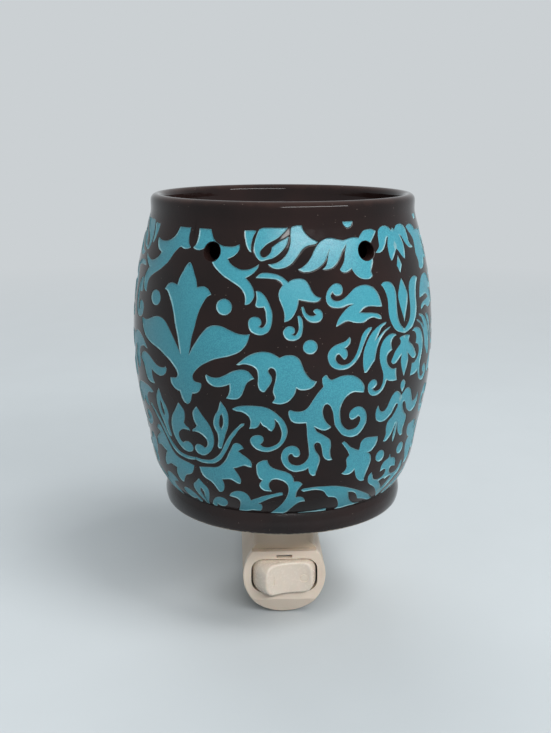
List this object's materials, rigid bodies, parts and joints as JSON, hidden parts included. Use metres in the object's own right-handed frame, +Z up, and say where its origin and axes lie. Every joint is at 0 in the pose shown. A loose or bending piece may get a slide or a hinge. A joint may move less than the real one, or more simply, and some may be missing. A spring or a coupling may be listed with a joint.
{
  "type": "wax melt warmer",
  "caption": "Wall plug-in wax melt warmer: a glazed barrel shade with a wax dish in its rim stands over a lamp on a round plug body with a rocker switch and a swivelling plug.",
  "frame": {"origin": "centre of the plug face, where the plug body's own axis meets the wall's plane", "axes": "+Y into the wall along the plug's axis, +Z up along the shade, -Y out into the room towards the rocker switch, +X to the right as seen from the room"},
  "size_m": [0.092, 0.12, 0.1317],
  "materials": {
    "glazed_stoneware": "gloss, dark brown with a satin teal pattern",
    "ivory_plastic": "satin",
    "dark_plastic": "matt",
    "white_thermoset": "matt",
    "soft_rubber": "matt",
    "spring_steel": "satin",
    "screw_steel": "bright",
    "blade_brass": "satin",
    "contact_brass": "satin",
    "plated_shell": "satin",
    "clear_glass": "clear",
    "black_glass": "gloss",
    "solder": "satin",
    "nickel_wire": "satin",
    "tungsten": "matt",
    "black_insulation": "satin",
    "white_insulation": "satin"
  },
  "bodies": {
    "housing": {"housing_left": "ivory_plastic", "housing_right": "ivory_plastic", "housing_screws": "screw_steel", "base_plate": "ivory_plastic", "shade_gasket": "soft_rubber", "spring_clip_1": "spring_steel", "spring_clip_2": "spring_steel", "spring_clip_3": "spring_steel", "clip_screws": "screw_steel", "switch_bezel": "ivory_plastic", "switch_body": "dark_plastic", "switch_common_terminal": "contact_brass", "switch_load_terminal": "contact_brass", "contact_carrier": "white_thermoset", "wiper_live": "contact_brass", "wiper_neutral": "contact_brass", "socket_body": "white_thermoset", "socket_shell": "plated_shell", "socket_center_contact": "contact_brass", "lead_live": "black_insulation", "lead_switched": "black_insulation", "lead_neutral": "white_insulation"},
    "shade": {"ceramic_shade": "glazed_stoneware"},
    "rocker": {"switch_rocker": "ivory_plastic", "switch_plunger": "white_thermoset", "switch_spring": "spring_steel"},
    "seesaw": {"switch_seesaw": "contact_brass"},
    "plug": {"plug_disc": "ivory_plastic", "blade_live": "blade_brass", "blade_neutral": "blade_brass"},
    "bulb": {"bulb_glass": "clear_glass", "bulb_screw_base": "plated_shell", "bulb_insulator": "black_glass", "bulb_contact": "solder", "bulb_stem": "clear_glass", "bulb_lead_wires": "nickel_wire", "bulb_filament": "tungsten"}
  },
  "joints": [
    {"name": "shade_lift", "type": "slide", "parent": "housing", "child": "shade", "axis": [0, 0, 1], "range_m": [0, 0.065]},
    {"name": "switch_rock", "type": "hinge", "parent": "housing", "child": "rocker", "pos_m": [0, -0.0691, 0], "axis": [0, 0, -1], "range_deg": [0, 24]},
    {"name": "seesaw_tilt", "type": "hinge", "parent": "housing", "child": "seesaw", "pos_m": [0, -0.06255, 0], "axis": [0, 0, -1], "range_deg": [-16, 0]},
    {"name": "plug_swivel", "type": "hinge", "parent": "housing", "child": "plug", "pos_m": [0, 0, 0], "axis": [0, 1, 0], "range_deg": [-90, 90]},
    {"name": "bulb_unscrew", "type": "hinge", "parent": "housing", "child": "bulb", "pos_m": [0, -0.057, 0.035], "axis": [0, 0, 1], "range_deg": [0, 1080]}
  ],
  "couplings": [
    {"joint": "seesaw_tilt", "follows": "switch_rock", "ratio": -0.6666}
  ]
}
